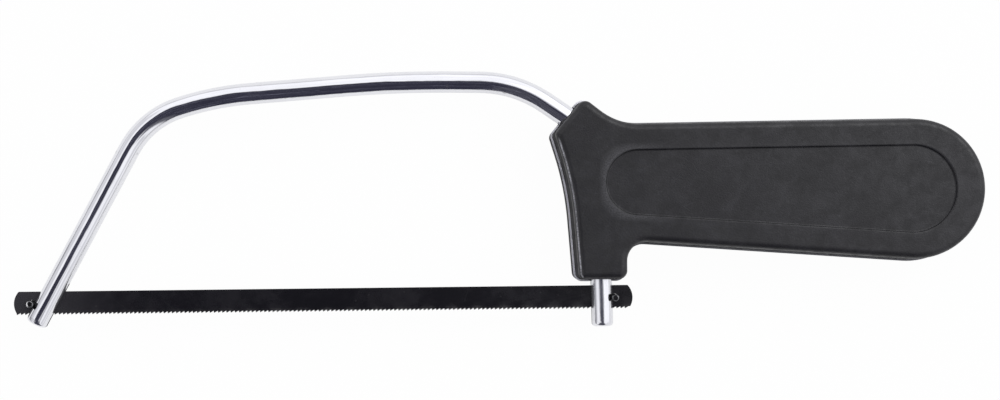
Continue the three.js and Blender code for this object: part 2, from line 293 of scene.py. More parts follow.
def stretched(tree, vector, scale, turn=(0.0, 0.0, 0.0)):  # turned first, then drawn out along its axes
    inputs = {"Vector": vector, "Scale": scale, "Rotation": turn}
    return addNode(tree, "ShaderNodeMapping", inputs, vector_type="TEXTURE").outputs[0]


def splitVector(tree, vector):
    return addNode(tree, "ShaderNodeSeparateXYZ", {0: vector}).outputs


# Effects that several finishes share

effects = {  # pairs are the levels between which a mask rises
    "hazeFiner": 4.7, "hazeFineShare": 0.35, "haze": (0.38, 0.66),
    "scratchRuns": ((0.35, 14.0), (1.25, 18.0), (2.5, 16.0)),  # direction in radians, length over width
    "scratch": (0.66, 0.74), "scratchPatch": (0.45, 0.60), "patchWider": 0.1,
    "grainFiner": 2.6, "grainFineShare": 0.3,
    "speck": (0.28, 0.12),  # distance from a cell's middle
}


def makeGroup(name, inputs, outputs):
    tree = bpy.data.node_groups.new(name, "ShaderNodeTree")
    for label, kind, value in inputs:
        socket = tree.interface.new_socket(label, in_out="INPUT", socket_type="NodeSocket" + kind)
        if value is not None:
            socket.default_value = value
    for label in outputs:
        tree.interface.new_socket(label, in_out="OUTPUT", socket_type="NodeSocketFloat")
    return tree, tree.nodes.new("NodeGroupInput").outputs, tree.nodes.new("NodeGroupOutput").inputs


def useGroup(tree, group, **inputs):
    return addNode(tree, "ShaderNodeGroup", inputs, node_tree=group).outputs[0]


def layered(tree, wide, fine, fineShare):
    return plus(tree, times(tree, wide, 1 - fineShare), times(tree, fine, fineShare))


def makeHaze():  # cloudy smudges, as hands and packing leave them
    tree, given, out = makeGroup(
        "hazeSmudges", [("Vector", "Vector", None), ("Scale", "Float", 60.0)], ["Mask"])
    finer = times(tree, given["Scale"], effects["hazeFiner"])
    wide = noise(tree, given["Vector"], given["Scale"], detail=4.0, roughness=0.6, distortion=0.6)
    fine = noise(tree, given["Vector"], finer, detail=5.0, roughness=0.65, distortion=0.3)
    both = layered(tree, wide, fine, effects["hazeFineShare"])
    tree.links.new(ramp(tree, both, *effects["haze"]), out["Mask"])
    return tree


def makeScratches():  # thin straight scuffs in three directions, broken up
    tree, given, out = makeGroup(
        "fineScratches", [("Vector", "Vector", None), ("Scale", "Float", 1500.0)], ["Mask"])
    total = None
    for turn, length in effects["scratchRuns"]:
        along = stretched(tree, given["Vector"], (length, 1.0, 1.0), (0.0, 0.0, turn))
        streak = noise(tree, along, given["Scale"], detail=2.0, roughness=0.5)
        line = ramp(tree, streak, *effects["scratch"])
        total = line if total is None else maths(tree, "MAXIMUM", total, line)
    wider = times(tree, given["Scale"], effects["patchWider"])
    patch = ramp(tree, noise(tree, given["Vector"], wider), *effects["scratchPatch"])
    tree.links.new(times(tree, total, patch), out["Mask"])
    return tree


def makeGrain():  # fine pebbled skin of a moulding or a coating
    tree, given, out = makeGroup(
        "mouldGrain", [("Vector", "Vector", None), ("Scale", "Float", 2600.0)], ["Height"])
    finer = times(tree, given["Scale"], effects["grainFiner"])
    coarse = noise(tree, given["Vector"], given["Scale"], detail=2.0, roughness=0.5)
    fine = noise(tree, given["Vector"], finer, detail=1.0, roughness=0.5)
    tree.links.new(layered(tree, coarse, fine, effects["grainFineShare"]), out["Height"])
    return tree


def makeSpecks():  # sparse dust grains and nicks
    tree, given, out = makeGroup(
        "dustSpecks",
        [("Vector", "Vector", None), ("Scale", "Float", 700.0), ("Share", "Float", 0.1)], ["Mask"])
    cells = addNode(tree, "ShaderNodeTexVoronoi", {"Vector": given["Vector"], "Scale": given["Scale"]})
    spot = ramp(tree, cells.outputs["Distance"], *effects["speck"])
    pick = addNode(tree, "ShaderNodeSeparateColor", {0: cells.outputs["Color"]}).outputs[0]
    kept = maths(tree, "LESS_THAN", pick, given["Share"])
    tree.links.new(times(tree, spot, kept), out["Mask"])
    return tree


haze = makeHaze()
scratches = makeScratches()
grain = makeGrain()
specks = makeSpecks()


def newMaterial(name, **plain):  # plain values are set on the shader's own sockets
    material = bpy.data.materials.new(name)
    material.use_nodes = True
    tree = material.node_tree
    shader = tree.nodes["Principled BSDF"]
    for label, value in plain.items():
        shader.inputs[label].default_value = value
    place = addNode(tree, "ShaderNodeTexCoord").outputs["Object"]
    return material, tree, shader, place


def setBump(tree, shader, height, strength, distance):
    bump = addNode(tree, "ShaderNodeBump", {"Height": height, "Strength": strength, "Distance": distance})
    tree.links.new(bump.outputs["Normal"], shader.inputs["Normal"])


# Frame rod: one bent bar with a slit and a notch at each end

rod = {
    "radius": 2.7, "sides": 64, "step": 1.5, "endRound": 0.9, "endSteps": 6,
    "pinSeat": 3.2,  # leg's middle to a seated pin
    "frontLean": 28.8, "rearLean": -1.0,  # degrees from upright
    "frontFoot": 4.0, "rearFoot": 7.1,  # leg below its pin
    "barEnd": 54.5, "crownBack": 29.9, "crownRise": 0.6, "barRise": 4.05,
    "noseSlope": 34.7, "tangHeight": 40.4,
    "frontBend": 22.0, "crownBend": 300.0, "rearBend": 30.0, "tangBend": 14.0,
    "shoulderBack": 14.85, "shoulderSlope": 17.35, "shoulderBend": 78.0,  # the front bend runs out softly
    "slitWidth": 0.91, "slitRoom": 2.2, "notchRadius": 0.98, "notchSides": 40, "bladeBack": 3.1,
    "springHalf": 45.0,  # half of the top bar's bending stretch, to each side of its hinge
    "tint": (0.88, 0.885, 0.915, 1.0), "dull": (0.76, 0.76, 0.80, 1.0), "mark": (0.30, 0.30, 0.32, 1.0),
    "cloudScale": 55.0, "scuffScale": 2200.0, "spotScale": 420.0, "spotShare": 0.05,
    "clouded": 0.3, "scuffed": 0.35, "spotted": 0.7, "marked": 0.5,  # strengths
    "rough": (0.05, 0.10), "markRough": 0.25,
    "rubbedFoot": (24.0, 15.0), "footRough": 0.11,  # the rear foot is rubbed dull by changing blades
    "drawnOut": 9.0, "waveScale": 420.0, "rippleScale": 1500.0, "rippleShare": 0.15,
    "bumpStrength": 0.35, "bumpDepth": 0.0003,
}


def leanVector(degrees):
    return Vector((math.sin(math.radians(degrees)), math.cos(math.radians(degrees))))


frontUp = leanVector(rod["frontLean"])
rearUp = leanVector(rod["rearLean"])
frontSeat = Vector((-pinSpacing, 0)) + Vector((frontUp.y, -frontUp.x)) * rod["pinSeat"]
rearSeat = Vector((-rearUp.y, rearUp.x)) * rod["pinSeat"]


def onFrontLeg(point, slope):  # where the front leg meets a line that rises to the point
    along = leanVector(90 - slope)
    return frontSeat + frontUp * ((point - frontSeat).cross(along) / frontUp.cross(along))


def rodRoute():
    tang = rearSeat + rearUp * ((rod["tangHeight"] - rearSeat.y) / rearUp.y)
    fall = (rod["barEnd"] - rod["tangHeight"]) / math.tan(math.radians(rod["noseSlope"]))
    rear = Vector((tang.x - fall, rod["barEnd"]))
    crown = rear + Vector((-rod["crownBack"], rod["crownRise"]))
    sharpCorner = onFrontLeg(crown, rod["barRise"])
    shoulder = sharpCorner + (crown - sharpCorner).normalized() * rod["shoulderBack"]
    front = onFrontLeg(shoulder, rod["shoulderSlope"])
    return [
        (*(frontSeat - frontUp * rod["frontFoot"]), 0.0),
        (*front, rod["frontBend"]), (*shoulder, rod["shoulderBend"]), (*crown, rod["crownBend"]),
        (*rear, rod["rearBend"]), (*tang, rod["tangBend"]),
        (*(rearSeat - rearUp * rod["rearFoot"]), 0.0),
    ]


def rodMoves(corners, step):  # one matrix and one length of travel for each new ring
    at = Vector(corners[0][:2])
    for before, corner, after in zip(corners, corners[1:], corners[2:]):
        arc = cornerArc(before, corner, after)
        run = (arc["start"] - at).to_3d()
        count = max(1, round(run.length / step))
        yield from [(Matrix.Translation(run / count), run.length / count)] * count
        bend = abs(arc["turn"]) * corner[2]
        count = max(2, round(bend / step))
        turn = about(arc["centre"].to_3d(), Matrix.Rotation(arc["turn"] / count, 4, "Z"))
        yield from [(turn, bend / count)] * count
        at = arc["centre"] + Matrix.Rotation(arc["turn"], 2) @ (arc["start"] - arc["centre"])
    run = (Vector(corners[-1][:2]) - at).to_3d()
    count = max(1, round(run.length / step))
    yield from [(Matrix.Translation(run / count), run.length / count)] * count


def sweepRod(radius, sides, step):
    corners = rodRoute()
    bm = bmesh.new()
    straight = bm.verts.layers.float_vector.new("straightRod")  # place on the bar before it was bent
    bmesh.ops.create_circle(bm, segments=sides, radius=radius)
    for vert in bm.verts:
        vert[straight] = Vector((0.0, vert.co.x, vert.co.y)) * mm
    upLeg = frontUp.to_3d().to_track_quat("Z", "Y").to_matrix().to_4x4()
    bmesh.ops.transform(bm, verts=bm.verts[:], matrix=Matrix.Translation((*corners[0][:2], 0.0)) @ upLeg)
    first = loop = bm.edges[:]
    travelled = 0.0
    for matrix, travel in rodMoves(corners, step):
        loop = pushLoop(bm, loop, matrix)
        travelled += travel
        for vert in vertsOf(loop):
            vert[straight].x = travelled * mm
    for ring in (first, loop):
        bmesh.ops.edgeloop_fill(bm, edges=ring)
    return bm, [*first, *loop]


def legCutters(seat, up, pinX, foot):  # slit for the blade and notch for the pin
    past = 4 * rod["radius"]  # the cutters reach well past the rod
    lean = abs(up.x / up.y)
    top = (rod["bladeBack"] - seat.y) / up.y + rod["radius"] * lean + rod["slitRoom"]
    bottom = -2 * foot
    middle = (seat + up * ((top + bottom) / 2)).to_3d()
    turn = Matrix.Rotation(math.atan2(-up.x, up.y), 4, "Z")
    size = Matrix.Diagonal((past, top - bottom, rod["slitWidth"], 1.0))
    slit = bmesh.new()
    bmesh.ops.create_cube(slit, size=1.0, matrix=Matrix.Translation(middle) @ turn @ size)
    notch = bmesh.new()
    bmesh.ops.create_cone(notch, cap_ends=True, segments=rod["notchSides"], radius1=rod["notchRadius"],
                          radius2=rod["notchRadius"], depth=past,
                          matrix=Matrix.Translation((pinX, 0.0, 0.0)))
    return [slit, notch]


def makeChrome():
    material, tree, shader, place = newMaterial("brightChrome", Metallic=1.0)
    bar = addNode(tree, "ShaderNodeAttribute", attribute_name="straightRod").outputs["Vector"]
    clouds = useGroup(tree, haze, Vector=place, Scale=rod["cloudScale"])
    scuffs = useGroup(tree, scratches, Vector=place, Scale=rod["scuffScale"])
    spots = useGroup(tree, specks, Vector=place, Scale=rod["spotScale"], Share=rod["spotShare"])
    marks = maths(tree, "MAXIMUM", times(tree, scuffs, rod["scuffed"]), times(tree, spots, rod["spotted"]))
    colour = mixColour(tree, times(tree, clouds, rod["clouded"]), rod["tint"], rod["dull"])
    colour = mixColour(tree, times(tree, marks, rod["marked"]), colour, rod["mark"])
    tree.links.new(colour, shader.inputs["Base Color"])
    length = sum(travel for _, travel in rodMoves(rodRoute(), rod["step"]))
    footSpan = inMetres(length - back for back in rod["rubbedFoot"])
    foot = ramp(tree, splitVector(tree, bar)["X"], *footSpan, 0.0, rod["footRough"])
    rough = plus(tree, spread(tree, clouds, rod["rough"]), times(tree, marks, rod["markRough"]))
    tree.links.new(plus(tree, rough, foot), shader.inputs["Roughness"])
    drawn = stretched(tree, bar, (rod["drawnOut"], 1.0, 1.0))  # waves along the bar, from drawing
    waves = noise(tree, drawn, rod["waveScale"], detail=2.0, roughness=0.5)
    ripple = noise(tree, drawn, rod["rippleScale"], detail=2.0, roughness=0.5)
    height = plus(tree, waves, times(tree, ripple, rod["rippleShare"]))
    setBump(tree, shader, height, rod["bumpStrength"], rod["bumpDepth"])
    return material


def makeRod():
    bm, endEdges = sweepRod(rod["radius"], rod["sides"], rod["step"])
    tidyMesh(bm)
    bevelEdges(bm, [edge for edge in endEdges if edge.is_valid], rod["endRound"], rod["endSteps"])
    cutters = legCutters(frontSeat, frontUp, -pinSpacing, rod["frontFoot"])
    cutters += legCutters(rearSeat, rearUp, 0.0, rod["rearFoot"])
    bm = cutAway(bm, *cutters)
    piece = finishPiece(bm, "frameRod", makeChrome(), ["frame_bow", "frame_tang"])
    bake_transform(piece)
    return piece


# Grip: two moulded shells with a sunk panel on each side

grip = {
    "legBottom": 4.15, "legToe": -10.1, "legHeel": 3.15, "end": 92.0,
    "top": 43.95, "topEnd": 44.5, "under": 13.65, "underEnd": 6.95,
    "hollow": (-11.9, 28.2), "chin": (-15.9, 41.25), "nose": (-7.9, 50.8), "flankBack": 0.8,
    "noseRound": 2.7, "chinRound": 2.0, "hollowRound": 75.0, "toeRound": 2.2, "heelRound": 2.8,
    "fingerRound": 4.1, "flankRound": 15.0,
    "half": 8.5, "edgeRound": 1.6, "edgeSteps": 8, "frontDraft": 2.4, "backDraft": 1.5,
    "parting": 0.05, "partingChamfer": 0.06, "rim": 0.25,
    "ledge": 0.40,  # the back half stands out past the front half
    "wall": 2.4, "rodRoom": 2.9, "rodWaySides": 48, "rodWayStep": 2.5,
    "panelInset": 7.05, "panelFront": -2.75, "panelRear": 0.9,
    "panelDepth": 0.4, "panelSlope": 0.30, "panelSteps": 6, "panelHalo": 1.7,
    "colour": (0.0130, 0.0126, 0.0150, 1.0), "rubbed": (0.034, 0.0335, 0.0375, 1.0),
    "dark": (0.0052, 0.0050, 0.0062, 1.0), "dust": (0.12, 0.12, 0.135, 1.0),
    "smudgeScale": 120.0, "mottleScale": 330.0, "scuffScale": 1900.0, "dustScale": 1500.0, "dustShare": 0.16,
    "smudged": 0.6, "mottled": 0.65, "scuffed": 0.05, "dusted": 0.16,  # strengths
    "seam": (0.82, 0.82, 0.86, 1.0), "seamHalf": (0.22, 0.132),  # a pale line on the ledge along the parting
    "seamScale": 260.0, "seamBroken": (0.3, 0.5, 0.7, 1.0),
    "seamShare": 0.30,  # the seam is fully white on the front flank alone
    "edgeWearAndSheen": (0.60, 0.60, 0.64, 1.0), "wornEdge": 8.02, "wornHalf": 0.30,  # light line on the edge round, partly rubbed wear and partly painted highlight
    # painted highlight: the edge line only on faces turned towards -X
    "sheenFacing": (-0.2, -0.45),
    "wornBack": (-3.0, -7.0), "wornTop": (40.5, 38.0),  # only on the front flank, below the chin
    "speckleScale": 3000.0, "speckle": (0.40, 0.60, 0.4, 1.0),
    "patchScale": 330.0, "patch": (0.38, 0.60, 0.55, 1.0),
    "haloBack": (16.0, 2.0), "haloShare": (0.01, 0.09),  # the panel's surround is scuffed most at the front
    "sideTop": (6.9, 6.21),  # the sides below this height are left coarser by the mould
    "shine": 0.45, "sideShine": 0.16, "rough": (0.34, 0.50), "sideRough": 0.30,
    "grainScale": 2300.0, "grainHeight": 0.6, "sinkScale": 90.0, "sinkHeight": 1.2, "scuffDepth": 0.1,
    "bumpStrength": 0.30, "bumpDepth": 0.0002,
}

screw = {
    "count": 3, "first": 8.0, "fromEnd": 18.0, "sides": 40, "smoothAngle": 40,
    "head": 2.8, "headHeight": 1.9, "crown": 1.95, "sink": 3.2, "headRoom": 3.1,
    "dome": ((0.0, 0.12), (0.6, 0.07), (1.0, 0.0)),  # share of the crown, rise above its edge
    "cheek": ((0.25, 1.292), (0.06, 0.55), (0.0, 0.35), (0.0, 0.08), (0.08, 0.0)),  # inset, rise off the seat
    "shank": 1.45, "shankRoom": 1.51, "cover": 3.0, "tip": 1.2, "postWall": 1.4,
    "thread": 0.28, "pitch": 1.1, "plain": 0.8, "crestFrom": 0.3, "crestAt": 0.65,
    "pointRadius": 0.2, "pointLength": 0.1,
    "driveLength": 3.2, "driveWidth": 0.9, "driveDepth": 1.15, "driveTaper": 0.55,
    "driveTurn": 0.4, "driveTurnStep": 0.7,  # each screw stopped at another angle
    "colour": (0.56, 0.56, 0.55, 1.0), "dull": (0.33, 0.32, 0.30, 1.0),
    "cloudScale": 420.0, "scuffScale": 4200.0, "rough": (0.26, 0.42), "scuffRough": 0.15,
    "grainScale": 5200.0, "bumpStrength": 0.2, "bumpDepth": 0.0001,
}

topHollow = (grip["flankBack"], grip["top"])
endTop = (grip["end"], grip["topEnd"])
endUnder = (grip["end"], grip["underEnd"])
fingerHollow = (grip["legHeel"], grip["under"])
endRound = endRadius(fingerHollow, endUnder, endTop, topHollow)
gripCorners = [  # counterclockwise from the top of the nose
    (*grip["nose"], grip["noseRound"]), (*grip["chin"], grip["chinRound"]),
    (*grip["hollow"], grip["hollowRound"]),
    (grip["legToe"], grip["legBottom"], grip["toeRound"]),
    (grip["legHeel"], grip["legBottom"], grip["heelRound"]),
    (*fingerHollow, grip["fingerRound"]), (*endUnder, endRound), (*endTop, endRound),
    (*topHollow, grip["flankRound"]),
]


def between(a, b, x):
    return a[1] + (b[1] - a[1]) * (x - a[0]) / (b[0] - a[0])


def topAt(x):
    return between(topHollow, endTop, x)


def underAt(x):
    return between(fingerHollow, endUnder, x)


def panelOutline():
    front = grip["panelFront"] - grip["panelInset"]
    rear = grip["end"] - grip["panelRear"]
    sides = [(front, topAt(front), 0), (front, underAt(front), 0),
             (rear, underAt(rear), 0), (rear, topAt(rear), 0)]
    a, b, c, d = [corner[:2] for corner in insetOutline(sides, grip["panelInset"])]
    frontRound = endRadius(d, a, b, c)
    rearRound = endRadius(b, c, d, a)
    return [(*a, frontRound), (*b, frontRound), (*c, rearRound), (*d, rearRound)]


def screwPlaces():
    span = grip["end"] - screw["fromEnd"] - screw["first"]
    xs = [screw["first"] + span * i / (screw["count"] - 1) for i in range(screw["count"])]
    return [(x, (topAt(x) + underAt(x)) / 2) for x in xs]


def skinSteps(draftDegrees, ledge):  # (inset, height) of each ring, from the parting line to the flat face
    draft = math.radians(draftDegrees)
    half, edge, parting = grip["half"], grip["edgeRound"], grip["parting"]
    chamfer = grip["partingChamfer"]
    sideTop = half - edge * (1 - math.sin(draft))
    edgeMiddle = ledge + math.tan(draft) * (sideTop - parting) + edge * math.cos(draft)
    steps = [(ledge + chamfer, parting), (ledge + math.tan(draft) * chamfer, parting + chamfer)]
    for i in range(grip["edgeSteps"] + 1):
        angle = draft + (math.pi / 2 - draft) * i / grip["edgeSteps"]
        steps.append((edgeMiddle - edge * math.cos(angle), half - edge * (1 - math.sin(angle))))
    return steps + [(steps[-1][0] + grip["rim"], half)]


def panelSteps():  # the soft step down into the panel
    half, depth, slope = grip["half"], grip["panelDepth"], grip["panelSlope"]
    steps = [(-grip["panelHalo"], half), (-grip["rim"], half)]
    for i in range(grip["panelSteps"] + 1):
        share = i / grip["panelSteps"]
        steps.append((slope * share, half - depth * (1 - math.cos(math.pi * share)) / 2))
    return steps + [(slope + grip["rim"], half - depth)]


def loftRings(bm, corners, steps, side, apart=10.0):  # bridged while they stand apart, then set in place
    loops = []
    for k, (inset, _) in enumerate(steps):
        loops.append(drawLoop(bm, roundOutline(insetOutline(corners, inset)), apart * k))
    skinLoops(bm, loops)
    for loop, (_, z) in zip(loops, steps):
        for vert in vertsOf(loop):
            vert.co.z = side * z
    return loops


def screwPosts(bm, side):  # gives back the posts' feet and the mouths of the sunk holes
    front = side > 0
    half, parting = side * grip["half"], side * grip["parting"]
    hollowFloor = half - side * grip["wall"]
    panelFace = half - side * grip["panelDepth"]
    headSeat = half - side * screw["sink"]
    boreEnd = panelFace - side * screw["cover"] if front else headSeat
    postRadius = (screw["shankRoom"] if front else screw["headRoom"]) + screw["postWall"]
    feet, mouths = [], []
    for x, y in screwPlaces():
        post = drawTube(bm, x, y, postRadius, screw["sides"], (hollowFloor, parting))
        bore = drawTube(bm, x, y, screw["shankRoom"], screw["sides"], (parting, boreEnd))
        fillFlat(bm, post[1], bore[0])
        feet.append(post[0])
        if front:
            fillFlat(bm, bore[1])
        else:
            sunk = drawTube(bm, x, y, screw["headRoom"], screw["sides"], (headSeat, panelFace))
            fillFlat(bm, sunk[0], bore[1])
            mouths.append(sunk[1])
    return feet, mouths


def makeShell(name, node, side, draft, ledge):  # side is 1 for the front half, -1 for the back half
    half, wall, parting = grip["half"], grip["wall"], grip["parting"]
    bm = bmesh.new()
    skin = loftRings(bm, gripCorners, skinSteps(draft, ledge), side)
    halo = bm.verts.layers.float.new("panelHalo")  # scuffed skin round the panel
    panel = loftRings(bm, panelOutline(), panelSteps(), side)
    for vert in vertsOf(panel[1]):
        vert[halo] = 1.0
    hollow = loftRings(bm, gripCorners, [(wall, parting), (wall, half - wall)], side)
    feet, mouths = screwPosts(bm, side)
    fillFlat(bm, skin[-1], panel[0])
    fillFlat(bm, panel[-1], *mouths)
    fillFlat(bm, skin[0], hollow[0])
    fillFlat(bm, hollow[1], *feet)
    rodWay, _ = sweepRod(grip["rodRoom"], grip["rodWaySides"], grip["rodWayStep"])
    bm = cutAway(bm, rodWay)
    return finishPiece(bm, name, gripPlastic, [node], "handle")


def edgeWearAndSheen(tree, place, x, y, height):  # speckled line on the front flank's edge round, partly wear and partly painted highlight; scuffs round the panel
    speckle = ramp(tree, noise(tree, place, grip["speckleScale"], roughness=0.6), *grip["speckle"])
    patchy = ramp(tree, noise(tree, place, grip["patchScale"], roughness=0.6), *grip["patch"])
    facing = splitVector(tree, addNode(tree, "ShaderNodeTexCoord").outputs["Normal"])
    fromEdge = maths(tree, "ABSOLUTE", maths(tree, "SUBTRACT", height, grip["wornEdge"] * mm))
    wearAndSheen = times(tree, ramp(tree, fromEdge, grip["wornHalf"] * mm, 0.0), speckle)
    # painted highlight: the line is kept to faces turned towards -X, where the light catches the round
    wearAndSheen = times(tree, wearAndSheen, ramp(tree, facing["X"], *grip["sheenFacing"]))
    wearAndSheen = times(tree, wearAndSheen, ramp(tree, x, *inMetres(grip["wornBack"])))
    wearAndSheen = times(tree, wearAndSheen, ramp(tree, y, *inMetres(grip["wornTop"])))
    wearAndSheen = times(tree, wearAndSheen, patchy)
    halo = addNode(tree, "ShaderNodeAttribute", attribute_name="panelHalo").outputs["Fac"]
    fade = ramp(tree, x, *inMetres(grip["haloBack"]), *grip["haloShare"])
    return maths(tree, "MAXIMUM", wearAndSheen, times(tree, times(tree, halo, speckle), fade))


def seamLine(tree, place, x, height):
    line = ramp(tree, height, *inMetres(grip["seamHalf"]))
    broken = ramp(tree, noise(tree, place, grip["seamScale"]), *grip["seamBroken"])
    whitened = ramp(tree, x, *inMetres(grip["wornBack"]), grip["seamShare"], 1.0)
    return times(tree, times(tree, line, broken), whitened)


def makePlastic():
    material, tree, shader, place = newMaterial("charcoalPlastic", IOR=1.48)
    smudges = useGroup(tree, haze, Vector=place, Scale=grip["smudgeScale"])
    mottle = useGroup(tree, haze, Vector=place, Scale=grip["mottleScale"])
    scuffs = useGroup(tree, scratches, Vector=place, Scale=grip["scuffScale"])
    dust = useGroup(tree, specks, Vector=place, Scale=grip["dustScale"], Share=grip["dustShare"])
    offsets = zip(splitVector(tree, place), rearPin)
    x, y, z = [maths(tree, "SUBTRACT", along, start) for along, start in offsets]
    height = maths(tree, "ABSOLUTE", z)  # from the parting plane
    colour = mixColour(tree, times(tree, smudges, grip["smudged"]), grip["colour"], grip["rubbed"])
    colour = mixColour(tree, times(tree, mottle, grip["mottled"]), colour, grip["dark"])
    colour = mixColour(tree, times(tree, scuffs, grip["scuffed"]), colour, grip["dust"])
    colour = mixColour(tree, times(tree, times(tree, dust, grip["dusted"]), smudges), colour, grip["dust"])
    # the speckled edge line, partly wear and partly painted highlight, and the scuffs round the panel
    colour = mixColour(tree, edgeWearAndSheen(tree, place, x, y, height), colour, grip["edgeWearAndSheen"])
    colour = mixColour(tree, seamLine(tree, place, x, height), colour, grip["seam"])
    tree.links.new(colour, shader.inputs["Base Color"])
    sideTop = inMetres(grip["sideTop"])
    shine = ramp(tree, height, *sideTop, grip["shine"], grip["sideShine"])
    tree.links.new(shine, shader.inputs["Specular IOR Level"])
    coarse = ramp(tree, height, *sideTop, 0.0, grip["sideRough"])
    tree.links.new(plus(tree, spread(tree, mottle, grip["rough"]), coarse), shader.inputs["Roughness"])
    skin = times(tree, useGroup(tree, grain, Vector=place, Scale=grip["grainScale"]), grip["grainHeight"])
    sink = times(tree, noise(tree, place, grip["sinkScale"], detail=2.0, roughness=0.5), grip["sinkHeight"])
    bumps = maths(tree, "SUBTRACT", plus(tree, skin, sink), times(tree, scuffs, grip["scuffDepth"]))
    setBump(tree, shader, bumps, grip["bumpStrength"], grip["bumpDepth"])
    return material


# Screws in the back of the grip

def makeScrew(index, x, y):
    seat = screw["sink"] - grip["half"]
    top = seat - screw["headHeight"]
    tip = grip["half"] - grip["panelDepth"] - screw["cover"]
    shank, pitch = screw["shank"], screw["pitch"]
    root = shank - screw["thread"]
    profile = [(screw["crown"] * share, top - rise) for share, rise in screw["dome"]]
    profile += [(screw["head"] - inset, seat - above) for inset, above in screw["cheek"]]
    profile.append((shank, seat))
    z = seat + screw["plain"]
    while z < tip - screw["tip"] - pitch:  # thread crests
        profile += [(root, z + pitch * screw["crestFrom"]), (shank, z + pitch * screw["crestAt"]),
                    (root, z + pitch)]
        z += pitch
    profile += [(root, tip - screw["tip"]), (screw["pointRadius"], tip - screw["pointLength"]), (0.0, tip)]
    bm = bmesh.new()
    turnProfile(bm, profile, x, y, screw["sides"])
    size = Matrix.Diagonal((screw["driveLength"], screw["driveWidth"], 2 * screw["driveDepth"], 1.0))
    taper = (screw["driveTaper"], screw["driveTaper"], 1.0)
    cutters = []
    for turn in (0.0, math.pi / 2):
        bar = bmesh.new()
        spin = Matrix.Rotation(turn + screw["driveTurn"] + screw["driveTurnStep"] * index, 4, "Z")
        bmesh.ops.create_cube(bar, size=1.0, matrix=Matrix.Translation((x, y, top)) @ spin @ size)
        deep = [vert for vert in bar.verts if vert.co.z > top]
        bmesh.ops.scale(bar, vec=taper, space=Matrix.Translation((-x, -y, 0.0)), verts=deep)
        cutters.append(bar)
    bm = cutAway(bm, *cutters)
    node = "handle_screw_%d" % (index + 1)
    return finishPiece(bm, "gripScrew%d" % (index + 1), screwZinc, [node], "handle",
                       screw["smoothAngle"])


def makeZinc():
    material, tree, shader, place = newMaterial("zincPlate", Metallic=1.0)
    clouds = useGroup(tree, haze, Vector=place, Scale=screw["cloudScale"])
    scuffs = useGroup(tree, scratches, Vector=place, Scale=screw["scuffScale"])
    colour = mixColour(tree, clouds, screw["colour"], screw["dull"])
    tree.links.new(colour, shader.inputs["Base Color"])
    rough = plus(tree, spread(tree, clouds, screw["rough"]), times(tree, scuffs, screw["scuffRough"]))
    tree.links.new(rough, shader.inputs["Roughness"])
    skin = useGroup(tree, grain, Vector=place, Scale=screw["grainScale"])
    setBump(tree, shader, skin, screw["bumpStrength"], screw["bumpDepth"])
    return material


# Blade: a thin strip with round ends and fine teeth in a wavy set

blade = {
    "overhang": 4.55, "back": 3.1, "edge": 2.75, "thickness": 0.65, "endSteps": 18, "smoothAngle": 12,
    "teethPerInch": 24, "toothDepth": 0.5, "toothLean": 0.15, "pinHole": 0.95, "holeSides": 32,
    "setBand": 1.5, "setWidth": 0.12, "footSet": 0.6, "teethPerWave": 6, "setFade": 4.0,
    # the lighter colour is bare metal at scuffs and nicks, and also painted sheen above the teeth
    "colour": (0.0072, 0.0068, 0.0090, 1.0), "bare": (0.050, 0.049, 0.050, 1.0),
    "smoky": (0.0120, 0.0113, 0.0145, 1.0), "faded": (0.040, 0.0385, 0.0435, 1.0),
    "fadedBand": (120.0, 152.0),  # the coating is greyer towards the front end
    "smokeScale": 70.0, "scuffScale": 1700.0, "nickScale": 900.0, "nickShare": 0.05,
    "scuffed": 0.10, "nicked": 0.3,  # strengths
    "wearAndSheenBand": (0.9, -0.4),  # lighter between these heights above the gullets: partly worn bare, partly painted sheen of the set's tilted band
    "wornScale": 900.0, "wornPatch": (0.35, 0.7, 0.2, 1.0),
    "sheenCrest": (-0.6, 0.9, 0.25, 1.0),  # painted sheen, most on one side of the set's waves, where the tilted band catches the light
    "shine": 0.38, "rough": (0.18, 0.27), "grainScale": 3000.0, "bumpStrength": 0.16, "bumpDepth": 0.0001,
}

toothPitch = inch / blade["teethPerInch"]
waveLength = toothPitch * blade["teethPerWave"]
gullet = blade["edge"] - blade["toothDepth"]


def endArc(pinX, first, last):
    steps = blade["endSteps"]
    angles = [first + (last - first) * i / steps for i in range(steps + 1)]
    return [(pinX + blade["overhang"] * math.cos(a), blade["overhang"] * math.sin(a)) for a in angles]


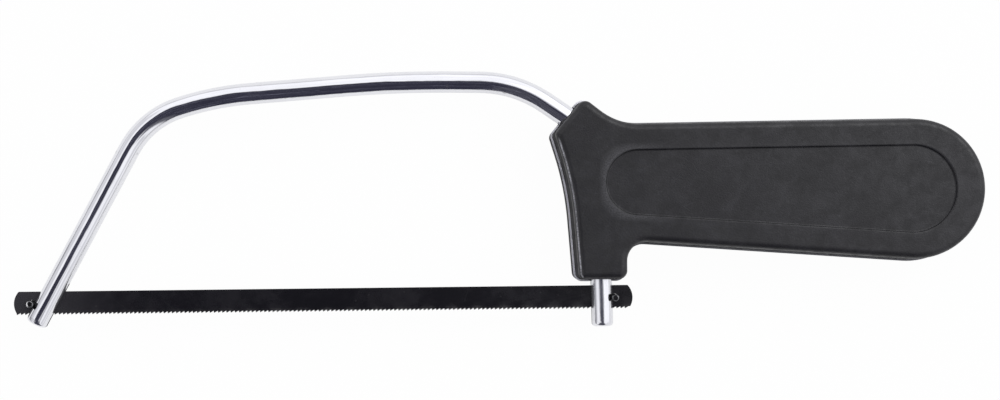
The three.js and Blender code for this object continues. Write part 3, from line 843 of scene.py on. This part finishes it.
def makeBlade():
    root = gullet - blade["setBand"]
    backAngle = math.asin(blade["back"] / blade["overhang"])
    edgeAngle = math.asin(gullet / blade["overhang"])
    reach = blade["overhang"] * math.cos(edgeAngle)
    first = -pinSpacing - reach
    count = int((pinSpacing + 2 * reach) / toothPitch)
    xs = [first + i * toothPitch for i in range(count + 1)]
    bm = bmesh.new()
    outline = endArc(0.0, -edgeAngle, backAngle)
    outline += endArc(-pinSpacing, math.pi - backAngle, math.pi + edgeAngle)
    outline += [(x, -root) for x in xs] + [(xs[-1], -gullet)]
    rim = drawLoop(bm, outline)
    pinHole = blade["pinHole"]
    holes = [drawLoop(bm, circlePoints(x, 0.0, pinHole, blade["holeSides"])) for x in (-pinSpacing, 0.0)]
    fillFlat(bm, rim, *holes)

    def setAt(x):  # sideways lean of the wavy set, none at the ends
        fade = min(1.0, (x - xs[0]) / blade["setFade"], (xs[-1] - x) / blade["setFade"])
        return blade["setWidth"] * fade * math.sin(2 * math.pi * (x - xs[0]) / waveLength)

    def rootAt(x):
        return next(vert for vert in bm.verts if (vert.co - Vector((x, -root, 0.0))).length < touching)

    rootVerts = [rootAt(x) for x in xs]
    foot = [bm.verts.new((x, -gullet, blade["footSet"] * setAt(x))) for x in xs]
    for i in range(count):
        tipX = xs[i] + blade["toothLean"]
        tip = bm.verts.new((tipX, -blade["edge"], setAt(tipX)))
        bm.faces.new((rootVerts[i], foot[i], foot[i + 1], rootVerts[i + 1]))
        bm.faces.new((foot[i], tip, foot[i + 1]))
    tidyMesh(bm)
    bmesh.ops.translate(bm, verts=bm.verts[:], vec=(0, 0, -blade["thickness"] / 2))
    lifted = vertsIn(bmesh.ops.extrude_face_region(bm, geom=bm.faces[:])["geom"])
    bmesh.ops.translate(bm, verts=lifted, vec=(0, 0, blade["thickness"]))
    return finishPiece(bm, "bladeStrip", makeBladeCoat(), ["blade_strip"], "blade",
                       blade["smoothAngle"])


def makeBladeCoat():
    plain = {"IOR": 1.5, "Specular IOR Level": blade["shine"]}
    material, tree, shader, place = newMaterial("blueBlackCoat", **plain)
    smoke = useGroup(tree, haze, Vector=place, Scale=blade["smokeScale"])
    scuffs = useGroup(tree, scratches, Vector=place, Scale=blade["scuffScale"])
    nicks = useGroup(tree, specks, Vector=place, Scale=blade["nickScale"], Share=blade["nickShare"])
    along, across, _ = splitVector(tree, place)
    wearAndSheen = ramp(tree, across, *(rearPin.y + (above - gullet) * mm for above in blade["wearAndSheenBand"]))
    wearAndSheen = times(tree, wearAndSheen, ramp(tree, noise(tree, place, blade["wornScale"]), *blade["wornPatch"]))
    # painted sheen: lighter on one side of each wave of the set, as the tilted band catches the light
    crest = maths(tree, "SINE", times(tree, along, 2 * math.pi / (waveLength * mm)))
    wearAndSheen = times(tree, wearAndSheen, ramp(tree, crest, *blade["sheenCrest"]))
    colour = mixColour(tree, smoke, blade["colour"], blade["smoky"])
    faded = ramp(tree, along, *(rearPin.x - ahead * mm for ahead in blade["fadedBand"]))
    colour = mixColour(tree, faded, colour, blade["faded"])
    marks = maths(tree, "MAXIMUM", times(tree, scuffs, blade["scuffed"]), times(tree, nicks, blade["nicked"]))
    # bare metal from scuffs and nicks, and the worn band with its painted sheen
    colour = mixColour(tree, maths(tree, "MAXIMUM", wearAndSheen, marks), colour, blade["bare"])
    tree.links.new(colour, shader.inputs["Base Color"])
    tree.links.new(spread(tree, smoke, blade["rough"]), shader.inputs["Roughness"])
    skin = useGroup(tree, grain, Vector=place, Scale=blade["grainScale"])
    setBump(tree, shader, skin, blade["bumpStrength"], blade["bumpDepth"])
    return material


# Blade pins: blackened, with a dished end inside a rubbed rim

pin = {
    "radius": 0.9, "half": 2.8, "sides": 40, "smoothAngle": 40,
    "chamfer": 0.2, "chamferIn": 0.08, "chamferDown": 0.06,  # the chamfer's middle, from the side and the end
    "dish": 0.16, "dishRadius": 0.5, "rimRadius": 0.64, "rimRound": 0.03, "rubInside": 0.05,
    "colour": (0.020, 0.020, 0.022, 1.0), "rubbed": (0.30, 0.30, 0.31, 1.0),
    "patchScale": 1400.0, "patch": (0.3, 0.7, 0.35, 1.0),
    "paintedGlint": (0.90, 0.90, 0.90, 1.0),
    "glintSide": (-0.30, -0.62),  # painted glint on the rim, on the front pin's outer side
    "smokeScale": 600.0, "rough": (0.3, 0.5), "grainScale": 6000.0, "bumpStrength": 0.2, "bumpDepth": 0.0001,
}


def makePin(name, node, x):
    radius, half, chamfer, rim = pin["radius"], pin["half"], pin["chamfer"], pin["rimRadius"]
    dishFloor = half - pin["dish"]
    upper = [(0.0, dishFloor), (pin["dishRadius"], dishFloor),
             (rim, half - pin["rimRound"]), (rim + pin["rimRound"], half), (radius - chamfer, half),
             (radius - pin["chamferIn"], half - pin["chamferDown"]), (radius, half - chamfer)]
    profile = upper + [(r, -z) for r, z in reversed(upper)]
    bm = bmesh.new()
    rub = bm.verts.layers.float.new("rimWear")
    turnProfile(bm, profile, x, 0.0, pin["sides"])
    for vert in bm.verts:
        outer = math.hypot(vert.co.x - x, vert.co.y) > rim - pin["rubInside"]
        vert[rub] = 1.0 if outer and abs(vert.co.z) > half - chamfer else 0.0
    return finishPiece(bm, name, pinSteel, [node], "blade", pin["smoothAngle"])


def makePinSteel():
    material, tree, shader, place = newMaterial("blackenedPin", Metallic=1.0)
    rim = addNode(tree, "ShaderNodeAttribute", attribute_name="rimWear").outputs["Fac"]
    patchy = ramp(tree, noise(tree, place, pin["patchScale"]), *pin["patch"])
    colour = mixColour(tree, times(tree, rim, patchy), pin["colour"], pin["rubbed"])
    # painted glint: the rim on the front pin's outer side is made near white
    glintSpan = [frontPin.x + aside * mm for aside in pin["glintSide"]]
    outer = ramp(tree, splitVector(tree, place)["X"], *glintSpan)
    colour = mixColour(tree, times(tree, rim, outer), colour, pin["paintedGlint"])
    tree.links.new(colour, shader.inputs["Base Color"])
    smoke = useGroup(tree, haze, Vector=place, Scale=pin["smokeScale"])
    tree.links.new(spread(tree, smoke, pin["rough"]), shader.inputs["Roughness"])
    skin = useGroup(tree, grain, Vector=place, Scale=pin["grainScale"])
    setBump(tree, shader, skin, pin["bumpStrength"], pin["bumpDepth"])
    return material


gripPlastic = makePlastic()
screwZinc = makeZinc()
pinSteel = makePinSteel()
makeRod()
makeShell("gripFront", "handle_front_shell", 1, grip["frontDraft"], grip["ledge"])
makeShell("gripBack", "handle_back_shell", -1, grip["backDraft"], 0.0)
for index, (x, y) in enumerate(screwPlaces()):
    makeScrew(index, x, y)
makeBlade()
makePin("bladeFrontPin", "blade_front_pin", -pinSpacing)
makePin("bladeRearPin", "blade_rear_pin", 0.0)
print("pieces modelled")


# Stage: white floor, soft white surroundings with dark gaps overhead, one large lamp

studio = {
    "floorSize": 6.0, "floorGap": 0.0002,
    "floorColour": (0.90, 0.90, 0.90, 1.0), "floorGlow": 0.975, "floorMirrored": 0.6,
    "sky": 1.02, "skyBlue": 1.03, "skyRight": 0.06, "skyUp": 0.10, "skyMottle": 0.20, "mottleScale": 5.0,
    "horizon": 0.62, "horizonTop": (0.12, 0.28), "backdrop": (1.0, 1.0, 1.0, 1.0),
    "gapColour": (0.030, 0.030, 0.048, 1.0), "gapStreak": (0.17, 0.17, 0.22, 1.0),
    "streakScale": 15.0, "streak": (0.52, 0.68),
    "lampPlace": (0.62, 0.48, 0.85), "lampSize": 0.7, "lampPower": 3.2,
}

gaps = [  # dark and grey fields of the sky overhead, by degrees of turn and spans along and across it
    {"turn": 0.0, "along": (-0.16, 0.22), "across": (-2.0, 0.03), "soft": 0.08, "depth": 1.0},
    {"turn": 0.0, "along": (0.10, 0.40), "across": (-2.0, -0.36), "soft": 0.07, "depth": 0.9},
    {"turn": 0.0, "along": (-0.62, -0.10), "across": (-2.0, -0.22), "soft": 0.07, "depth": 0.97},
    {"turn": 151.2, "along": (-0.03, 0.40), "across": (-0.15, 0.30), "soft": 0.05, "depth": 1.0},
    {"turn": 151.2, "along": (0.68, 0.95), "across": (-0.3, 0.3), "soft": 0.06, "depth": 0.3},
    {"turn": -28.8, "along": (0.76, 0.92), "across": (-0.3, 0.3), "soft": 0.05, "depth": 0.35},
    {"turn": 180.0, "along": (0.90, 2.0), "across": (-2.0, 2.0), "soft": 0.06, "depth": 0.6},
]


def makeFloor():
    bm = bmesh.new()
    bmesh.ops.create_grid(bm, x_segments=2, y_segments=2, size=studio["floorSize"] / 2)
    floor = looseObject(bm, "floor")
    floor.location.z = cadBox[0][2] - studio["floorGap"]
    material = bpy.data.materials.new("paperFloor")
    material.use_nodes = True
    tree = material.node_tree
    tree.nodes.clear()
    path = addNode(tree, "ShaderNodeLightPath").outputs
    seen = times(tree, path["Is Camera Ray"], studio["floorGlow"])
    for ray in ("Is Glossy Ray", "Is Transmission Ray"):
        seen = maths(tree, "MAXIMUM", seen, times(tree, path[ray], studio["floorMirrored"]))
    paper = addNode(tree, "ShaderNodeBsdfDiffuse", {"Color": studio["floorColour"]})
    glow = addNode(tree, "ShaderNodeEmission", {"Strength": 1.0})
    both = addNode(tree, "ShaderNodeMixShader", {0: seen, 1: paper.outputs[0], 2: glow.outputs[0]})
    addNode(tree, "ShaderNodeOutputMaterial", {"Surface": both.outputs[0]})
    floor.data.materials.append(material)


def within(tree, value, span, soft):
    low, high = span
    return times(tree, ramp(tree, value, low - soft, low + soft), ramp(tree, value, high + soft, high - soft))


def makeSurroundings():
    world = bpy.data.worlds.new("softTent")
    scene.world = world
    world.use_nodes = True
    tree = world.node_tree
    tree.nodes.clear()
    ray = addNode(tree, "ShaderNodeTexCoord").outputs["Generated"]
    x, y, z = splitVector(tree, ray)
    level = maths(tree, "MULTIPLY_ADD", x, studio["skyRight"], studio["sky"])
    level = maths(tree, "MULTIPLY_ADD", y, studio["skyUp"], level)
    mottle = maths(tree, "SUBTRACT", noise(tree, ray, studio["mottleScale"], detail=4.0, roughness=0.6), 0.5)
    level = maths(tree, "MULTIPLY_ADD", mottle, 2 * studio["skyMottle"], level)
    level = times(tree, level, ramp(tree, z, *studio["horizonTop"], studio["horizon"], 1.0))
    blue = times(tree, level, studio["skyBlue"])
    colour = addNode(tree, "ShaderNodeCombineColor", {0: level, 1: level, 2: blue}).outputs[0]
    streaks = ramp(tree, noise(tree, ray, studio["streakScale"], roughness=0.6), *studio["streak"])
    dark = mixColour(tree, streaks, studio["gapColour"], studio["gapStreak"])
    for gap in gaps:
        turn = {"Vector": ray, "Angle": -math.radians(gap["turn"])}
        turned = addNode(tree, "ShaderNodeVectorRotate", turn, rotation_type="Z_AXIS").outputs[0]
        along, across, _ = splitVector(tree, turned)
        field = times(tree, within(tree, along, gap["along"], gap["soft"]),
                      within(tree, across, gap["across"], gap["soft"]))
        colour = mixColour(tree, times(tree, field, gap["depth"]), colour, dark)
    seen = addNode(tree, "ShaderNodeLightPath").outputs["Is Camera Ray"]
    colour = mixColour(tree, seen, colour, studio["backdrop"])
    back = addNode(tree, "ShaderNodeBackground", {"Color": colour, "Strength": 1.0})
    addNode(tree, "ShaderNodeOutputWorld", {"Surface": back.outputs[0]})


def makeLamp():
    lamp = bpy.data.lights.new("softbox", "AREA")
    lamp.shape = "SQUARE"
    lamp.size = studio["lampSize"]
    lamp.energy = studio["lampPower"]
    holder = bpy.data.objects.new("softbox", lamp)
    holder.location = studio["lampPlace"]
    holder.rotation_euler = (-Vector(studio["lampPlace"])).to_track_quat("-Z", "Y").to_euler()
    scene.collection.objects.link(holder)


# Camera: straight above the saw, a little to the front and the blade side of its middle

view = {
    "middle": (0.001175, -0.000274), "height": 0.380, "turn": -0.652,  # the turn is in degrees
    "lens": 54.17, "aside": (-0.017, -0.0076), "frameWidth": 0.2525, "nearest": 0.01,
}


def makeCamera():
    camera = bpy.data.objects.new("camera", bpy.data.cameras.new("camera"))
    turn = Matrix.Rotation(math.radians(view["turn"]), 4, "Z")
    aside = Vector((*view["aside"], 0.0))
    camera.location = Vector((*view["middle"], rearPin.z + view["height"])) + turn @ aside
    camera.rotation_euler = (0.0, 0.0, math.radians(view["turn"]))
    camera.data.lens = view["lens"]
    camera.data.shift_x = -aside.x / view["frameWidth"]
    camera.data.shift_y = -aside.y / view["frameWidth"]
    camera.data.clip_start = view["nearest"]
    scene.collection.objects.link(camera)
    scene.camera = camera


makeFloor()
makeSurroundings()
makeLamp()
makeCamera()
print("stage and camera set")
